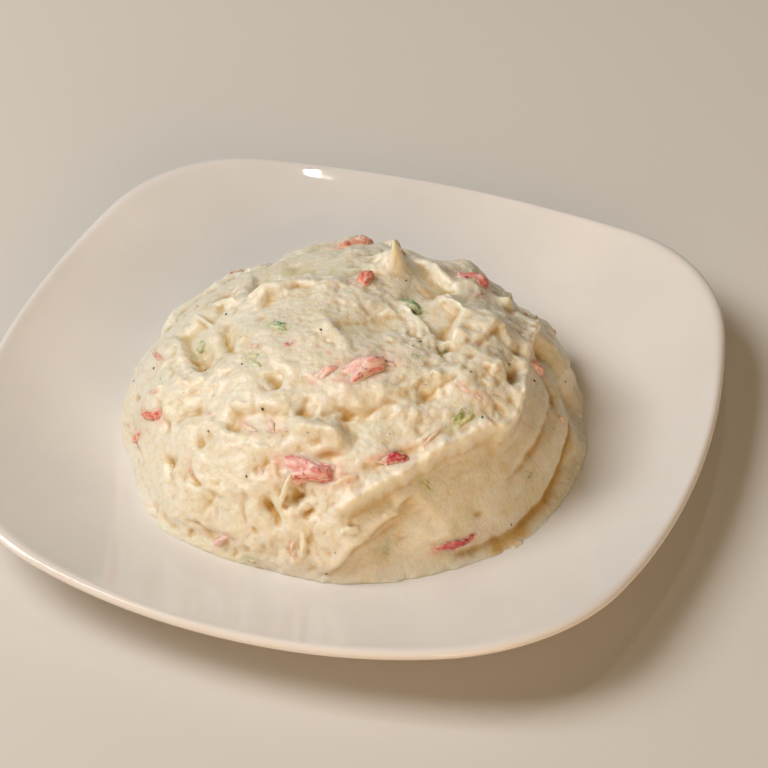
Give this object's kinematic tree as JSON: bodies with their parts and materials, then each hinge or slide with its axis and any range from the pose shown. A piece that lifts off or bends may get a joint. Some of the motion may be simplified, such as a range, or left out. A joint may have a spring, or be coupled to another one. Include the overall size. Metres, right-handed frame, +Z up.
{
  "type": "plate of potato salad",
  "caption": "Rounded-square coupe plate with a dome of creamy potato salad, flecked with crab stick and cucumber, ready to serve.",
  "frame": {"origin": "on the surface the plate stands on, under the middle of the plate", "axes": "+Z up, out of the plate; the plate's sides run along X and Y"},
  "size_m": [0.2158, 0.2158, 0.0559],
  "materials": {
    "porcelain": "gloss",
    "salad": "satin",
    "crab_stick": "satin",
    "cucumber": "satin"
  },
  "bodies": {
    "root": {"plate": "porcelain", "salad": "salad", "crab_stick_1": "crab_stick", "crab_stick_2": "crab_stick", "crab_stick_3": "crab_stick", "crab_stick_4": "crab_stick", "crab_stick_5": "crab_stick", "crab_stick_6": "crab_stick", "crab_stick_7": "crab_stick", "crab_stick_8": "crab_stick", "crab_stick_9": "crab_stick", "crab_stick_10": "crab_stick", "crab_stick_11": "crab_stick", "cucumber_1": "cucumber", "cucumber_2": "cucumber", "cucumber_3": "cucumber", "cucumber_4": "cucumber"}
  },
  "joints": []
}
